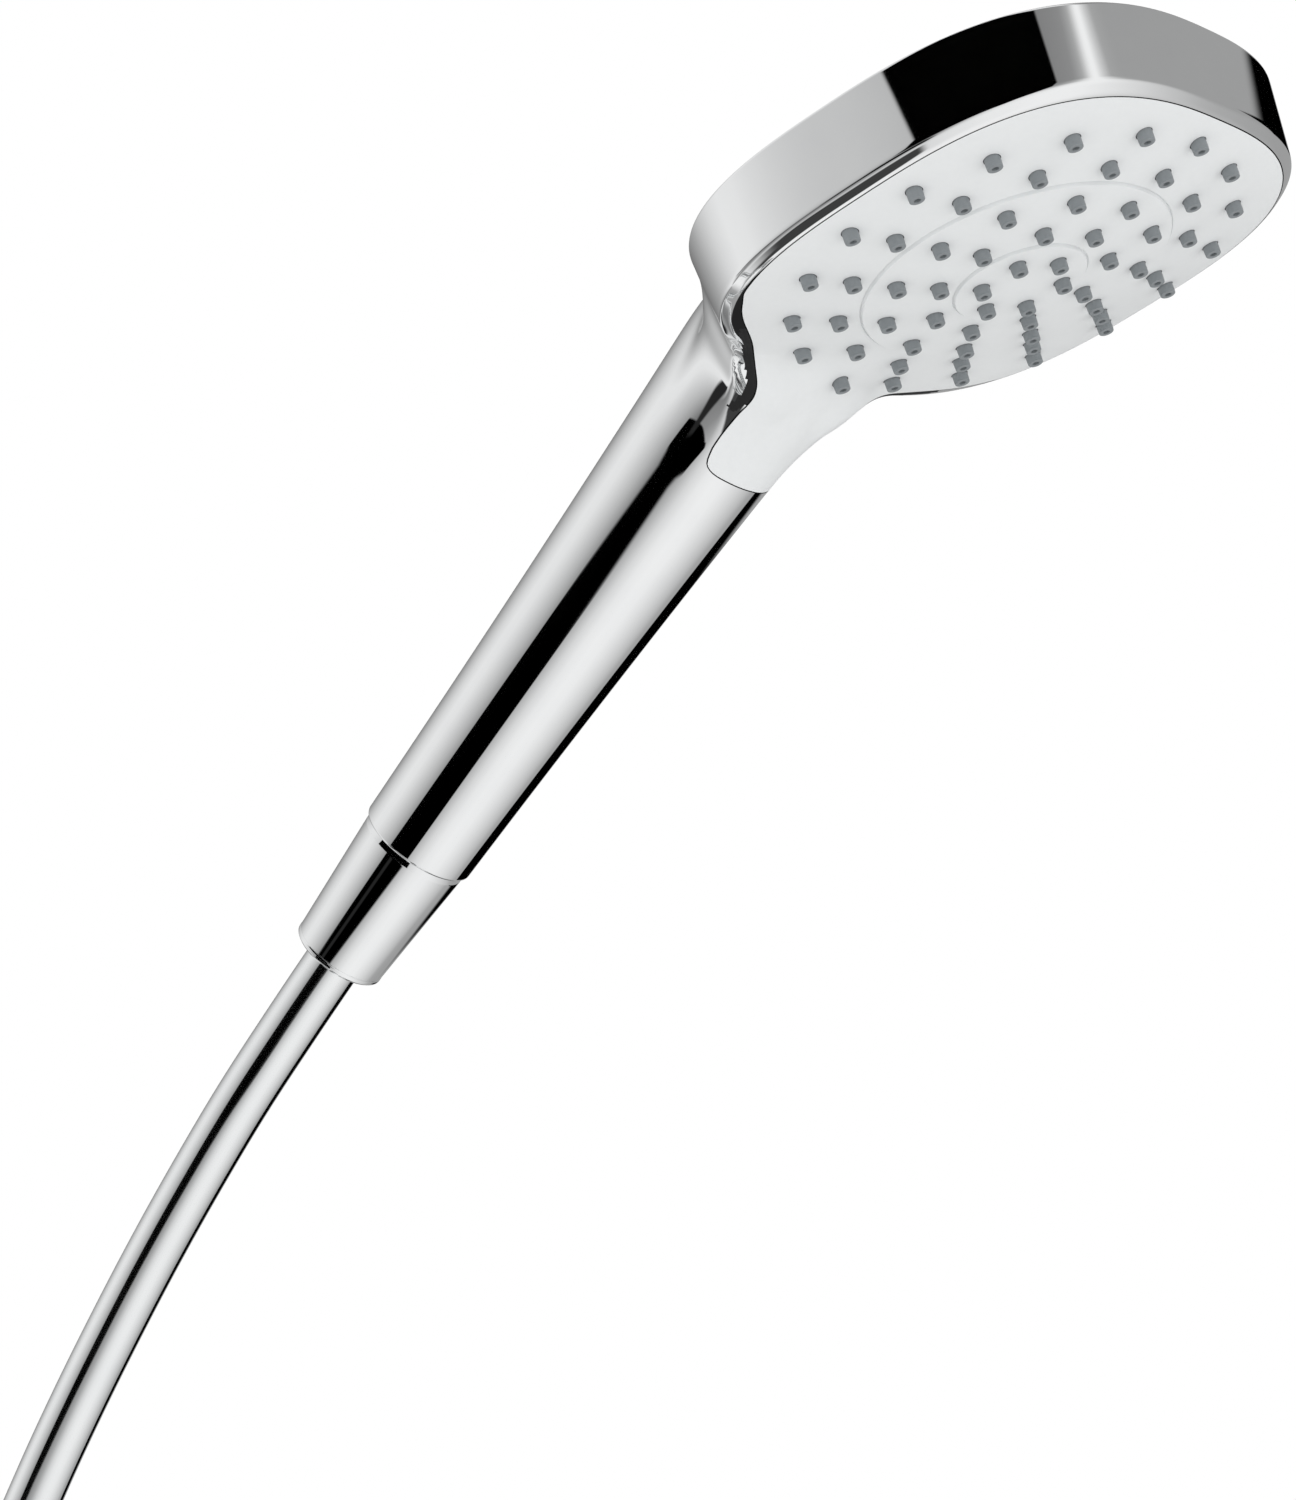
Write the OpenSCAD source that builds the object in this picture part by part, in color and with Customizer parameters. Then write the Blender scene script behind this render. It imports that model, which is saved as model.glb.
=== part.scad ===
// Handheld shower head on its hose, in millimetres.
// Row frame: +Z up, -Y is the side the water leaves, X = 0 is the plane of symmetry.
// The origin is the middle of the cone nut, where a wall holder grips the handset.

/* [Handset] */
// Lean of the handle from the vertical, in degrees
lean = 40; // [38:0.5:42]
// Tilt of the spray face to the handle, in degrees
head_tilt = 24.3; // [24:0.1:24.6]
// Diameter of the handle at its lower end
grip_d = 25.4; // [25:0.1:26]
// Thickness of the casing's wall
wall = 2.5; // [2.2:0.1:2.6]

/* [Head] */
// Width of the head across its back edge
head_w = 110; // [109:1:112]
// Width of the light face plate
face_w = 102; // [101:0.5:102]
// Radius of the face's shallow dome
dome_r = 206; // [200:1:220]
// Drop of the face at each of its two round steps
step_h = 0.5; // [0.4:0.1:0.6]

/* [Nozzles] */
// Distance between the rings of nozzles
ring_pitch = 9; // [8.8:0.1:9]
// Outer diameter of a silicone nozzle
nozzle_d = 3.2; // [2.8:0.1:3.2]
// Height of a nozzle above the face
nozzle_h = 2.1; // [1.5:0.1:3]

/* [Hose] */
// Outer diameter of the hose
hose_d = 12.2; // [12:0.1:12.2]
// Turns of hose in the coil
coil_turns = 2.5333; // [2.5333:1:3.5333]
// Height of the surface that the coil lies on
floor_z = -292.5; // [-294:0.5:-292]

/* [Fittings] */
// Outer diameter of the G1/2 male thread
g_half_d = 20.8; // [20.7:0.05:20.9]
// Diameter of the free G1/2 female thread at its crests
g_half_minor = 18.6; // [18.5:0.05:18.7]
// Length of the cone nut
cone_l = 31.3; // [31:0.1:31.5]

/* [Hidden] */
$fn = 64;

chrome = [0.80, 0.82, 0.84];
light_grey = [0.88, 0.89, 0.90];
nozzle_grey = [0.40, 0.42, 0.44];
eps = 0.02;
fit = 0.05;                     // gap between pieces that sit against each other

// Frames
cone_gap = 0.1;                 // from the handle's end down to the cone nut's top
grip_mid = 15;                  // and down to the row's origin
face_y = -40;                   // the face's apex, from the handle's axis
face_z = 176.4;                 // and from the handle's lower end

// Handle: its radius grows along its length
flare = 0.0219;
swell = 0.000103;
tongue_t = 2.2;
tongue_gap = 0.25;
core_end = 139;
bore_r = 10.6;
nipple_r = bore_r - fit;
shoulder_z = 24;
tube_bore_r = 11;
neck_bore_r = 9.5;
neck_bore_z = 110;

// Head, measured along the spray direction from the face's apex
back_n = -25.6;
lip_n = -9.6;
rim_n = -7.3;
ledge_n = -12.3;
cavity_n = back_n + wall;
dome_back = 4;
cavity_half = 48.5;
face_t = 2.5;
mat_t = 1.2;
plate_t = 2.2;
inner_step = 1.5 * ring_pitch;
outer_step = 3.5 * ring_pitch;
rings = 5;
mat_r = 47;

// Chamber behind the jet plate
cover_n = -19.2;
cover_t = 1.8;
rim_in = 42.5;
rim_out = 48;
pan_n = -15.05;
seal_r = 43.7;
seal_t = 0.85;
screw_ring = 46.4;
screw_r = 1;
elbow_u = -36;
socket_r = 8.3;
tube_r = 6.5;
tube_bore = 4;
tube_z0 = 12.5;
tube_z1 = 140;
seal_minor = 0.74;

// Hose route in the row frame, from inside the crimp sleeve to the coil
hose_r = hose_d / 2;
hose_route = [[0, 2.6, -3.1], [0, 10.5, -12.6], [0, 22.8, -28.2], [0, 34.9, -44.2], [0, 46.2, -60.7],
    [0, 57, -77.6], [0, 67.2, -94.8], [0, 76.9, -112.2], [0, 86, -129.9], [0, 94.3, -148],
    [0, 100.8, -166.9], [0, 104.8, -186.4], [0, 106.1, -206.4], [0.8, 106.2, -221.4],
    [4, 106, -236], [10.6, 105.2, -250.2], [20.2, 102.4, -263.3], [32.2, 96, -274.4],
    [44.8, 84.6, -282], [53.6, 70.6, -285.2], [56.7, 60.1, -285.7]];
coil_x = 0;
coil_y = 48;
coil_in = 58;
coil_pitch = 12.3;
coil_z = floor_z + hose_r + 0.7;
coil_out = coil_in + coil_pitch * coil_turns;
tail_x = -coil_out;
tail_route = [[tail_x, coil_y, coil_z], [tail_x - 0.6, coil_y + 14, coil_z + 0.5],
    [tail_x - 1, coil_y + 28, coil_z + 2.4], [tail_x - 1.2, coil_y + 40, coil_z + 4.3],
    [tail_x - 1.2, coil_y + 50, coil_z + 5.2], [tail_x - 1.2, coil_y + 62, coil_z + 5.2]];
tap_x = tail_x - 1.2;
tap_y = coil_y + 49;
tap_z = coil_z + 5.2;
tie_y = coil_y - coil_in - 1.28 * coil_pitch;

function handle_r(z) = grip_d / 2 + flare * z + swell * z * z;
function dome_n(r) = -r * r / (2 * dome_r);
function drop(r) = r < inner_step ? 0 : r < outer_step ? step_h : 2 * step_h;
function squircle_r(half, a, p = 2.7) =
    half * pow(pow(abs(cos(a)), p) + pow(abs(sin(a)), p), -1 / p);
function squircle(half, a0 = -180, a1 = 175, da = 5) =
    [for (a = [a0:da:a1]) squircle_r(half, a) * [sin(a), cos(a)]];

// Half outline of the tongue, in the face's plane, from the flare to its tip
function tongue_half(g) = [[36.7 + g, -40.6], [27.1 + g, -45.6], [19 + g, -51.8], [15.3 + g, -56],
    [13.7 + g, -62], [12.5 + g, -70.6], [11.6 + g, -73.4 - g], [9.6 + g, -74.4 - g],
    [4, -73.4 - g]];
function mirrored(points) =
    [for (i = [len(points) - 1:-1:0]) [-points[i][0], points[i][1]]];
function face_outline(g) = concat(squircle(face_w / 2 + g, -130, 130), tongue_half(g),
    mirrored(tongue_half(g)));

module handset() {
    rotate([lean, 0, 0]) translate([0, 0, grip_mid]) children();
}

module in_head() {
    handset() translate([0, face_y, face_z]) rotate([90 + head_tilt, 0, 0]) children();
}

// A solid of revolution about the handle between two heights, inset from the handle's surface
module handle_turned(z0, z1, inset) {
    steps = 14;
    rotate_extrude($fn = 96) polygon(concat([[0, z1], [0, z0]],
        [for (i = [0:steps]) let (z = z0 + (z1 - z0) * i / steps) [handle_r(z) - inset, z]]));
}

// A ring of rectangular section
module ring(r_in, r_out, z0, z1) {
    rotate_extrude() translate([r_in, z0]) square([r_out - r_in, z1 - z0]);
}

module o_ring(major, minor) {
    rotate_extrude() translate([major, 0]) circle(minor, $fn = 32);
}

// A shell that follows the face's dome, from one depth to another
module dome_shell(depth0, depth1, r_out, stepped) {
    rs = stepped
        ? [0, 7, inner_step, inner_step + 0.3, 22, outer_step, outer_step + 0.3, 40, 48, r_out]
        : [0, 12, 24, 36, r_out];
    top = [for (r = rs) [r, dome_n(r) - depth0 - (stepped ? drop(r - 0.1) : 0)]];
    low = [for (i = [len(rs) - 1:-1:0]) [rs[i], dome_n(rs[i]) - depth1]];
    rotate_extrude($fn = 96) polygon(concat(top, low));
}

// Cylinders on the nozzle grid, 6, 9, 12, 15 and 18 to a ring, from a depth under the face
module nozzles(radius, depth, over) {
    for (k = [1:rings]) for (j = [0:3 * (k + 1) - 1])
        rotate([0, 0, 360 * j / (3 * (k + 1))])
            translate([0, k * ring_pitch, dome_n(k * ring_pitch) - depth])
                cylinder(r = radius, h = depth - drop(k * ring_pitch) + over, $fn = 24);
}

module casing() {
    color(chrome) difference() {
        union() {
            handset() rotate_extrude($fn = 96) polygon(concat([[0, core_end], [0, 0],
                [grip_d / 2 - 0.7, 0]],
                [for (z = [0.6:10:130.6]) [handle_r(z), z]], [[handle_r(core_end), core_end]]));
            in_head() translate([0, 0, back_n]) linear_extrude(lip_n - back_n)
                polygon(squircle(head_w / 2));
            in_head() translate([0, 0, lip_n - eps]) linear_extrude(rim_n - lip_n + eps)
                polygon(squircle(head_w / 2 - 1.9));
            in_head() intersection() {
                translate([0, 0, back_n - dome_back - 1]) linear_extrude(dome_back + 2)
                    polygon(squircle(head_w / 2));
                translate([0, 0, back_n - dome_back + 380]) sphere(380, $fn = 96);
            }
            hull($fn = 32) {
                handset() translate([0, 0, 126]) cylinder(r = handle_r(128), h = 9);
                in_head() translate([0, -6, back_n - 9]) cylinder(r = 22, h = 3);
            }
        }
        // seat of the face plate and its tongue
        difference() {
            in_head() translate([0, 0, ledge_n]) linear_extrude(45) polygon(face_outline(tongue_gap));
            handset() handle_turned(80, core_end, tongue_t + tongue_gap);
        }
        in_head() translate([0, 0, cavity_n]) linear_extrude(40)
            polygon(squircle(cavity_half));
        // bores along the handle
        handset() translate([0, 0, -1]) cylinder(r = bore_r, h = shoulder_z + 1);
        handset() translate([0, 0, shoulder_z - 1]) cylinder(r = neck_bore_r, h = 5);
        handset() translate([0, 0, shoulder_z + 3]) cylinder(r = tube_bore_r, h = neck_bore_z - shoulder_z - 3);
        handset() translate([0, 0, neck_bore_z - 1]) cylinder(r = neck_bore_r, h = 35);
        in_head() translate([0, elbow_u, -32.2]) cylinder(r = 9.2, h = 14);
    }
}

module spray_face() {
    color(light_grey) difference() {
        union() {
            in_head() intersection() {
                dome_shell(0, face_t + 2 * step_h, 58, true);
                translate([0, 0, -20]) linear_extrude(22) polygon(squircle(face_w / 2));
                translate([0, 0, -20]) linear_extrude(22) polygon(face_outline(0));
            }
            intersection() {
                handset() handle_turned(100, core_end, 0);
                in_head() translate([0, 0, ledge_n + fit]) linear_extrude(40) polygon(face_outline(0));
            }
        }
        handset() handle_turned(90, core_end + eps, tongue_t);
        in_head() nozzles(nozzle_d / 2 + 0.15, 8, 8);
    }
}

module nozzle_mat() {
    top = face_t + 2 * step_h + fit;
    color(nozzle_grey) in_head() difference() {
        union() {
            dome_shell(top, top + mat_t, mat_r, false);
            nozzles(nozzle_d / 2, top + 0.6, nozzle_h);
        }
        nozzles(0.6, 10, 10);
    }
}

module jet_plate() {
    top = face_t + 2 * step_h + mat_t + 2 * fit;
    color("dimgray") in_head() difference() {
        union() {
            dome_shell(top, top + plate_t, rim_out, false);
            ring(rim_in + 0.1, rim_out, pan_n + 1.8, dome_n(rim_out) - top - 0.5);
            ring(seal_r + seal_t + 0.15, rim_out, pan_n + fit, pan_n + 3);
        }
        nozzles(1.1, 20, 10);
        each_screw() translate([0, 0, pan_n - 1]) cylinder(r = screw_r + fit, h = 4.2, $fn = 24);
    }
}

module each_screw() {
    for (a = [30:60:330]) rotate([0, 0, a]) translate([0, screw_ring, 0]) children();
}

module chamber_seal() {
    color("black") in_head() translate([0, 0, pan_n + fit + seal_t]) o_ring(seal_r, seal_t);
}

module chamber_cover() {
    color("darkgray") difference() {
        union() {
            in_head() rotate_extrude() polygon([[0, cover_n - cover_t], [rim_out, cover_n - cover_t],
                [rim_out, pan_n], [rim_in, pan_n], [rim_in, cover_n], [0, cover_n]]);
            in_head() translate([0, elbow_u, -31.5]) cylinder(r = socket_r, h = 31.5 + cover_n - 0.9);
            intersection() {
                handset() translate([0, 0, 124]) cylinder(r = socket_r, h = 19);
                in_head() translate([0, -30, -60]) cylinder(r = 60, h = 60 + pan_n - 0.3);
            }
        }
        handset() translate([0, 0, 123]) cylinder(r = tube_r + fit, h = tube_z1 - 123 + fit);
        handset() translate([0, 0, 130]) cylinder(r = tube_bore, h = 22);
        in_head() translate([0, elbow_u, -29]) cylinder(r = 5, h = 14);
        in_head() each_screw() translate([0, 0, cover_n - 3])
            cylinder(r = screw_r + fit, h = 9, $fn = 24);
    }
}

module chamber_screws() {
    color("silver") in_head() each_screw() difference() {
        rotate_extrude($fn = 32) polygon([[0, cover_n - cover_t - 1.5], [1.4, cover_n - cover_t - 1.5],
            [1.6, cover_n - cover_t - fit], [screw_r, cover_n - cover_t - fit], [screw_r, pan_n + 2.6],
            [screw_r - 0.5, pan_n + 3.1], [0, pan_n + 3.1]]);
        translate([-1.2, -0.2, cover_n - cover_t - 2]) cube([2.4, 0.4, 1]);
    }
}

module water_tube() {
    color("gainsboro") handset() difference() {
        ring(tube_bore, tube_r, tube_z0, tube_z1);
        for (z = [17, 134]) translate([0, 0, z - 0.95]) ring(5, 9, 0, 1.9);
    }
}

module tube_seals() {
    color("black") handset() for (z = [17, 134]) translate([0, 0, z]) o_ring(5.78, seal_minor);
}

module inlet_nipple() {
    color("goldenrod") handset() difference() {
        union() {
            translate([0, 0, -11]) cylinder(d = g_half_d, h = 11.5);
            cylinder(r = nipple_r, h = 23);
        }
        translate([0, 0, -12]) cylinder(r = 7.2, h = 24);
        translate([0, 0, 11.9]) cylinder(r = tube_r + fit, h = 12);
        translate([0, 0, 10]) ring(9, 12, -0.95, 0.95);
    }
}

module nipple_seal() {
    color("black") handset() translate([0, 0, 10]) o_ring(9.78, seal_minor);
}

module valve_body() {
    color("ivory") handset() difference() {
        translate([0, 0, -8]) cylinder(r = 7.15, h = 13.5);
        translate([0, 0, -9]) cylinder(r = 3.8, h = 12);
        translate([0, 0, -6]) cylinder(r = 5.9, h = 9.5);
        translate([0, 0, 1]) cylinder(r = 1.6, h = 6);
        for (a = [0:60:300]) rotate([0, 0, a]) translate([4.1, 0, 1]) cylinder(r = 1.3, h = 6, $fn = 24);
        translate([0, 0, -1]) ring(6.3, 9, -0.95, 0.95);
    }
}

module valve_seal() {
    color("black") handset() translate([0, 0, -1]) o_ring(6.38 + 0.02, seal_minor - 0.05);
}

module valve_poppet() {
    color("orange") handset() {
        translate([0, 0, -5]) cylinder(r = 5.2, h = 1.2);
        translate([0, 0, -4]) cylinder(r = 1.5, h = 10);
    }
}

module poppet_seal() {
    color("black") handset() ring(2.5, 5.2, -6 + fit, -5);
}

function helix(turns, r, z0, h, per) = [for (i = [0:turns * per])
    [r * cos(360 * i / per), r * sin(360 * i / per), z0 + h * i / (turns * per)]];

// A tube through a list of points, with flat ends
module tube(points, radius, sides) {
    n = len(points);
    function unit(v) = v / norm(v);
    function along(i) = unit(points[min(i + 1, n - 1)] - points[max(i - 1, 0)]);
    function side(i) = i == 0
        ? unit(cross(along(0), abs(along(0)[2]) < 0.9 ? [0, 0, 1] : [1, 0, 0]))
        : let (t = along(i), s = side(i - 1)) unit(s - (s * t) * t);
    rings = [for (i = [0:n - 1]) let (t = along(i), s = side(i), c = cross(t, s))
        for (k = [0:sides - 1]) points[i] + radius * (cos(360 * k / sides) * s + sin(360 * k / sides) * c)];
    walls = [for (i = [0:n - 2]) for (k = [0:sides - 1]) let (l = (k + 1) % sides)
        [i * sides + k, (i + 1) * sides + k, (i + 1) * sides + l, i * sides + l]];
    polyhedron(rings, concat(walls, [[for (k = [0:sides - 1]) k]],
        [[for (k = [sides - 1:-1:0]) (n - 1) * sides + k]]));
}

module valve_spring() {
    color("silver") handset() tube(helix(4, 2.6, -3.3, 6, 12), 0.3, 6);
}

module flow_limiter() {
    color("mediumseagreen") handset() difference() {
        translate([0, 0, 5.6]) cylinder(r = 7.15, h = 6.2);
        translate([0, 0, 9]) cylinder(r = 5.9, h = 4);
        translate([0, 0, 5]) cylinder(r = 2.6, h = 3.2);
        for (a = [0:45:315]) rotate([0, 0, a]) translate([4.1, 0, 5]) cylinder(r = 0.9, h = 6, $fn = 24);
    }
}

module limiter_ring() {
    color("black") handset() translate([0, 0, 9.85]) o_ring(4.9, 0.8);
}

module filter_washer() {
    color("black") handset() ring(5.5, 9, -13.3, -11 - fit);
}

module filter_mesh() {
    color("gray") handset() rotate_extrude() polygon([[0, -9.3], [2, -9.4], [4, -10.2], [5.3, -12],
        [5.3, -12.8], [4.9, -12.8], [4.9, -12.1], [3.8, -10.6], [1.9, -9.8], [0, -9.7]]);
}

module cone_nut() {
    top = -cone_gap;
    low = top - cone_l;
    color(chrome) handset() difference() {
        rotate_extrude($fn = 96) polygon([[0, top], [11.7, top], [11.9, top - 1.3], [10.3, low + 1.5],
            [10.2, low + 1], [9.8, low + 0.2], [9.2, low], [0, low]]);
        translate([0, 0, -13]) cylinder(d = g_half_d + 0.2, h = 13);
        translate([0, 0, -18.1]) cylinder(r = 9.05, h = 6);
        translate([0, 0, low - 1]) cylinder(r = 7.75, h = cone_l);
    }
}

// A nipple that carries the hose's end, its flange at the top and its barbs inside the hose
module nipple_shape(flange_r) {
    rotate_extrude() polygon([[3.2, 0], [flange_r, 0], [flange_r, -2.2], [6, -2.2], [6, -4.8],
        [4.4, -4.8], [4.4, -8], [4.1, -9], [4.4, -9], [4.1, -13], [4.4, -13], [3.9, -17], [3.2, -17]]);
}

module hose_nipple() {
    color("goldenrod") handset() translate([0, 0, -13.4]) nipple_shape(9);
}

module swivel_ring() {
    color("white") handset() ring(6.05, 8.9, -18, -15.65);
}

module crimp_sleeve() {
    color(chrome) handset() difference() {
        ring(4.45, 7.7, -30.2, -18.25);
        translate([0, 0, -31]) cylinder(r = hose_r + fit, h = 12);
    }
}

module hose() {
    color(chrome) tube(hose_route, hose_r, 10);
}

module hose_coil() {
    color(chrome) translate([coil_x, coil_y, coil_z]) rotate_extrude($fn = 96) difference() {
        translate([coil_in - hose_r, -hose_r]) square([coil_out - coil_in + 2 * hose_r, 2 * hose_r]);
        for (s = [-1, 1]) {
            translate([coil_in - hose_r - eps, s * (hose_r - 2) - (s < 0 ? 2 + eps : 0)])
                square([2, 2 + eps]);
            translate([coil_out + hose_r - 2 + eps, s * (hose_r - 2) - (s < 0 ? 2 + eps : 0)])
                square([2, 2 + eps]);
        }
    }
}

module hose_tail() {
    color(chrome) tube(tail_route, hose_r, 10);
}

module hose_tie() {
    inner = hose_r + 0.05;
    half = coil_pitch;
    color("black") translate([0, tie_y, coil_z]) rotate([90, 0, 90])
        linear_extrude(14, center = true) difference() {
            stadium(inner + 0.6, half);
            stadium(inner, half);
        }
}

module stadium(r, half) {
    translate([-half, -r]) square([2 * half, 2 * r]);
    for (s = [-1, 1]) translate([s * half, 0]) circle(r);
}

// The tap end lies along +Y
module tap_end() {
    translate([tap_x, tap_y, tap_z]) rotate([-90, 0, 0]) children();
}

module tap_sleeve() {
    color(chrome) tap_end() difference() {
        ring(4.45, 7.7, 1, 13.2);
        translate([0, 0, 0]) cylinder(r = hose_r + fit, h = 13);
    }
}

module tap_nipple() {
    color("goldenrod") tap_end() translate([0, 0, 18]) nipple_shape(8.8);
}

module tap_nut() {
    color(chrome) tap_end() difference() {
        intersection() {
            translate([0, 0, 13.3]) cylinder(d = 24 / cos(30), h = 16.2, $fn = 6);
            rotate_extrude() polygon([[0, 13.3], [12, 13.3], [13.8, 14.6], [13.8, 28.2], [12.4, 29.5],
                [0, 29.5]]);
        }
        translate([0, 0, 13]) cylinder(r = 6.05, h = 4);
        translate([0, 0, 15.7]) cylinder(r = 8.9, h = 6);
        translate([0, 0, 20.5]) cylinder(d = g_half_minor, h = 12);
    }
}

module tap_washer() {
    color("black") tap_end() ring(5.5, 8.8, 18 + fit, 20.2);
}

casing();
spray_face();
nozzle_mat();
jet_plate();
chamber_seal();
chamber_cover();
chamber_screws();
water_tube();
tube_seals();
inlet_nipple();
nipple_seal();
valve_body();
valve_seal();
valve_poppet();
poppet_seal();
valve_spring();
flow_limiter();
limiter_ring();
filter_washer();
filter_mesh();
cone_nut();
hose_nipple();
swivel_ring();
crimp_sleeve();
hose();
hose_coil();
hose_tail();
hose_tie();
tap_sleeve();
tap_nipple();
tap_nut();
tap_washer();
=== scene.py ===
"""Handheld shower head: its looks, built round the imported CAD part."""

import math

import bpy
import numpy as np
from mathutils import Matrix, Vector
from mathutils.geometry import delaunay_2d_cdt


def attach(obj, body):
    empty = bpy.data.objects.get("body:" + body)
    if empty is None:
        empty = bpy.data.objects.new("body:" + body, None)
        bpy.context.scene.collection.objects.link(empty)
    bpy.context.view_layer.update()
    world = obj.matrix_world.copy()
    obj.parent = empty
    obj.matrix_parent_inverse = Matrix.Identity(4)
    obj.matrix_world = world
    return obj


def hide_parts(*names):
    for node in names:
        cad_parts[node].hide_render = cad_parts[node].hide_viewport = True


bl_info = {
    "name": "Handheld Shower Head",
    "version": (1, 0, 0),
    "blender": (4, 5, 0),
    "location": "3D View > Sidebar > Shower",
    "description": "Builds a chromed hand shower with its light spray face, cone nut and smooth hose",
    "category": "Object",
}

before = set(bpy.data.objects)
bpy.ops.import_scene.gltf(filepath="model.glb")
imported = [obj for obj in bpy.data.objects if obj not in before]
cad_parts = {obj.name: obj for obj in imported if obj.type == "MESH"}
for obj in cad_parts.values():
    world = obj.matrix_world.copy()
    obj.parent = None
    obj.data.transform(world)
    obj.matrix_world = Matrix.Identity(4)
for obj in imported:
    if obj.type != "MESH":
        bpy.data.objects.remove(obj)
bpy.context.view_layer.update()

MM = 0.001
LEAN = math.radians(40.0)
TILT = math.radians(24.3)
GRIP_MID = 15.0

# Head axes in the handset's own frame: across, up the face, along the spray
FACE_AT = np.array([0.0, -40.0, 176.4])
UP_FACE = np.array([0.0, -math.sin(TILT), math.cos(TILT)])
SPRAY = np.array([0.0, -math.cos(TILT), -math.sin(TILT)])
RING_PITCH = 9.0

# The skin's outlines in the head's plan: half width and exponent at the lip, and half width at the back edge
LIP_HALF, LIP_POWER, LIP_N = 53.1, 2.8, -9.15
BACK_HALF, BACK_POWER, BACK_N = 55.07, 2.65, -25.6
FACE_HALF, FACE_POWER = 51.12, 2.76
# Twice the radius of the sphere that the face is domed to
DOME = 413.6
# Where the neck's rows end and the head's begin, as a turn about the head's middle
NECK_TURN = math.radians(28.5)
# The casing's wall and bore, the rounding at its lower end, and the width of the painted dark band at the neck,
# black paint standing in for the chrome's dark reflection there
CASING_WALL = 2.0
BORE_R = 10.7
END_ROUND = 0.75
PAINTED_BAND_WIDTH = 2.1

# The face's round steps: radii, height, half width, and the depth of the groove along each foot
STEPS = (13.5, 31.5)
STEP_DROP = 0.5
STEP_WIDTH = 0.14
GROOVE = 0.32
FACE_WALL = 2.1
HOLE_R = 1.74
NOZZLE_LOW, JET_LOW = -3.3, 0.9
MAT_R, MAT_DEPTH, MAT_THICK = 47.0, 3.55, 1.2


# ---------------------------------------------------------------- frames

def to_row(points):
    """Handset millimetres to row metres."""
    p = np.atleast_2d(np.asarray(points, float)) + [0.0, 0.0, GRIP_MID]
    c, s = math.cos(LEAN), math.sin(LEAN)
    return np.column_stack([p[:, 0], c * p[:, 1] - s * p[:, 2], s * p[:, 1] + c * p[:, 2]]) * MM


def turn_to_row(vectors):
    """Handset directions to row directions."""
    v = np.atleast_2d(np.asarray(vectors, float))
    c, s = math.cos(LEAN), math.sin(LEAN)
    return np.column_stack([v[:, 0], c * v[:, 1] - s * v[:, 2], s * v[:, 1] + c * v[:, 2]])


def to_head(p):
    """Handset points to head coordinates (x, u, n)."""
    q = p - FACE_AT
    return p[..., 0], q @ UP_FACE, q @ SPRAY


def from_head(x, u, n):
    """Head coordinates to handset points."""
    x, u, n = np.broadcast_arrays(np.asarray(x, float), np.asarray(u, float), np.asarray(n, float))
    return FACE_AT + u[..., None] * UP_FACE + n[..., None] * SPRAY + x[..., None] * np.array([1.0, 0, 0])


# ---------------------------------------------------------------- the outer skin as one field

def smooth_max(a, b, k):
    h = np.maximum(k - np.abs(a - b), 0) / k
    return np.maximum(a, b) + h * h * h * k / 6


def smooth_step(a, b, x):
    t = np.clip((x - a) / (b - a), 0, 1)
    return t * t * t * (t * (6 * t - 15) + 10)


def grip_radius(z):
    return 12.7 + 0.0219 * z + 0.000103 * z * z


def squircle_size(x, u, p):
    return (np.abs(x) ** p + np.abs(u) ** p + 1e-12) ** (1 / p)


def squircle_radius(half, psi, p):
    return half * (np.abs(np.cos(psi)) ** p + np.abs(np.sin(psi)) ** p) ** (-1 / p)


def back_depth(x, u):
    """How far the back of the head lies behind the face: a dome, and the ridge that ends the handle."""
    size = squircle_size(x, u, BACK_POWER)
    dome = 5.5 * (1 - np.minimum(size / BACK_HALF, 1.3) ** 2)
    t = np.clip((12 - u) / 62, 0, 1.4)
    ridge = 9.8 * t * t * (3 - 2 * np.minimum(t, 1)) + 8 * np.maximum(t - 1, 0)
    spread = np.clip(1 - (x / 30) ** 2, 0, 1) ** 2
    return -BACK_N + dome + ridge * spread


def dome_height(x, u):
    """The shallow dome of the face; towards the rim it levels out so that the rim lies in one plane."""
    r2 = x * x + u * u
    size = squircle_size(x, u, FACE_POWER)
    t = smooth_step(30, 50, size)
    return -((1 - t) * r2 + t * size * size) / DOME - 1.0


def head_field(p):
    x, u, n = to_head(p)
    t = np.clip((LIP_N - n) / 16.45, -0.5, 1.5)
    size = squircle_size(x, u, LIP_POWER - 0.15 * t)
    wall = size - (LIP_HALF + 1.97 * t)
    bevel = (squircle_size(x, u, 2.78) - 51.25 + n + 7.3) * 0.7071
    top = n - dome_height(x, u)
    back = -n - back_depth(x, u)
    rim = smooth_max(smooth_max(top, bevel, 0.5), wall, 0.5)
    return smooth_max(rim, back, 0.5)


def grip_field(p):
    x, u, n = to_head(p)
    cone = np.hypot(p[..., 0], p[..., 1]) - grip_radius(p[..., 2])
    return smooth_max(cone, (-n - back_depth(x, u) - 0.5) * 0.95, 12.0)


def skin_field(p):
    """Negative inside the handset, zero on its outer skin."""
    around = np.degrees(np.arctan2(np.abs(p[..., 0]), -p[..., 1]))
    side = smooth_step(0, 42, around) * (1 - smooth_step(82, 128, around))
    k = 9 + 22 * side * (1 - smooth_step(-58, -43, to_head(p)[1]))
    return -smooth_max(-grip_field(p), -head_field(p), k)


def slope(field, p, e=0.02):
    g = np.empty_like(p)
    for i in range(3):
        d = np.zeros(3)
        d[i] = e
        g[..., i] = (field(p + d) - field(p - d)) / (2 * e)
    return g


def settle(p, field=skin_field, rounds=8):
    """Moves points onto the skin along its slope."""
    p = np.array(p, float)
    for _ in range(rounds):
        g = slope(field, p)
        p -= (field(p) / np.maximum((g * g).sum(-1), 1e-9))[..., None] * g
    return p


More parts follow.
